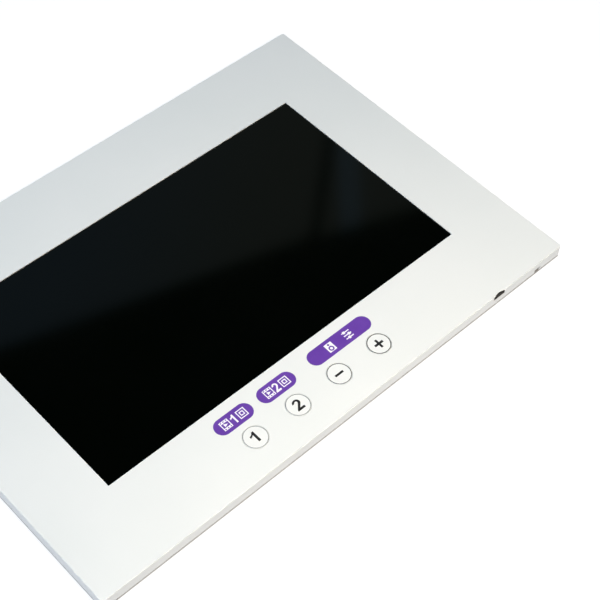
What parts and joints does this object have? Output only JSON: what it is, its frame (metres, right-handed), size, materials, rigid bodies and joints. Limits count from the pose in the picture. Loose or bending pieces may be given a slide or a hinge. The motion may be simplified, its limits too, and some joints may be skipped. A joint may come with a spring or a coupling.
{
  "type": "video monitor panel",
  "caption": "Flat white panel with a large black widescreen display, a row of round push keys below it, a charging port and a slide switch in its lower edge, and wall-hanging keyholes behind.",
  "frame": {"origin": "on the table, under the middle of the panel", "axes": "+X to the right along the panel's width, +Y to its top edge, +Z out of the screen"},
  "size_m": [0.297, 0.21, 0.0082],
  "materials": {
    "white_plastic": "fine matt",
    "white_sheet": "satin",
    "black_screen": "glossy",
    "display_glass": "polished",
    "black_tape": "matt",
    "thin_steel": "rolled",
    "clear_acrylic": "clear",
    "white_film": "satin",
    "light_plastic": "moulded",
    "silicon": "ground",
    "yellow_flex": "satin",
    "green_board": "solder mask",
    "chip_black": "moulded",
    "connector_ivory": "moulded",
    "screw_steel": "zinc plated",
    "black_rubber": "matt",
    "grey_foam": "open cell",
    "battery_foil": "foil",
    "speaker_black": "moulded",
    "magnet_steel": "nickel plated",
    "cone_film": "film",
    "wire_red": "sleeve",
    "spring_steel": "bright",
    "knob_black": "moulded"
  },
  "bodies": {
    "housing": {"back_cover": "white_plastic", "backlight_frame": "light_plastic", "battery_cell": "battery_foil", "battery_leads": "wire_red", "battery_protection_board": "green_board", "battery_tape": "black_tape", "board_connectors": "connector_ivory", "colour_filter_glass": "display_glass", "cover_screws": "screw_steel", "foam_pads": "grey_foam", "frame": "white_plastic", "front_polariser": "black_screen", "front_sheet": "white_sheet", "key_board": "green_board", "key_board_screws": "screw_steel", "key_ribbon": "yellow_flex", "lcd_back_plate": "thin_steel", "lcd_bezel": "thin_steel", "lcd_driver_chips": "silicon", "lcd_gasket": "black_tape", "lcd_ribbon": "yellow_flex", "led_bar": "white_film", "left_speaker_diaphragm": "cone_film", "left_speaker_frame": "speaker_black", "left_speaker_magnet": "magnet_steel", "light_guide": "clear_acrylic", "main_board": "green_board", "main_board_screws": "screw_steel", "memory_chips": "chip_black", "optical_films": "white_film", "power_components": "chip_black", "power_switch_body": "thin_steel", "processor_chip": "chip_black", "reflector_sheet": "white_film", "right_speaker_diaphragm": "cone_film", "right_speaker_frame": "speaker_black", "right_speaker_magnet": "magnet_steel", "rubber_feet": "black_rubber", "snap_dome_minus": "spring_steel", "snap_dome_one": "spring_steel", "snap_dome_plus": "spring_steel", "snap_dome_two": "spring_steel", "speaker_gaskets": "grey_foam", "speaker_leads": "wire_red", "switch_housing_minus": "chip_black", "switch_housing_one": "chip_black", "switch_housing_plus": "chip_black", "switch_housing_two": "chip_black", "tft_glass": "display_glass", "usb_shell": "thin_steel", "usb_tongue": "chip_black"},
    "key_one": {"key_cap_one": "white_sheet", "switch_plunger_one": "knob_black"},
    "key_two": {"key_cap_two": "white_sheet", "switch_plunger_two": "knob_black"},
    "key_minus": {"key_cap_minus": "white_sheet", "switch_plunger_minus": "knob_black"},
    "key_plus": {"key_cap_plus": "white_sheet", "switch_plunger_plus": "knob_black"},
    "power_knob": {"power_switch_knob": "knob_black"}
  },
  "joints": [
    {"name": "press_key_one", "type": "slide", "parent": "housing", "child": "key_one", "axis": [0, 0, -1], "range_m": [0, 0.0004], "stiffness_N_per_m": 1000, "springref_m": -0.0004, "deforming": ["snap_dome_one"]},
    {"name": "press_key_two", "type": "slide", "parent": "housing", "child": "key_two", "axis": [0, 0, -1], "range_m": [0, 0.0004], "stiffness_N_per_m": 1000, "springref_m": -0.0004, "deforming": ["snap_dome_two"]},
    {"name": "press_key_minus", "type": "slide", "parent": "housing", "child": "key_minus", "axis": [0, 0, -1], "range_m": [0, 0.0004], "stiffness_N_per_m": 1000, "springref_m": -0.0004, "deforming": ["snap_dome_minus"]},
    {"name": "press_key_plus", "type": "slide", "parent": "housing", "child": "key_plus", "axis": [0, 0, -1], "range_m": [0, 0.0004], "stiffness_N_per_m": 1000, "springref_m": -0.0004, "deforming": ["snap_dome_plus"]},
    {"name": "slide_power_switch", "type": "slide", "parent": "housing", "child": "power_knob", "axis": [1, 0, 0], "range_m": [0, 0.0015]}
  ]
}
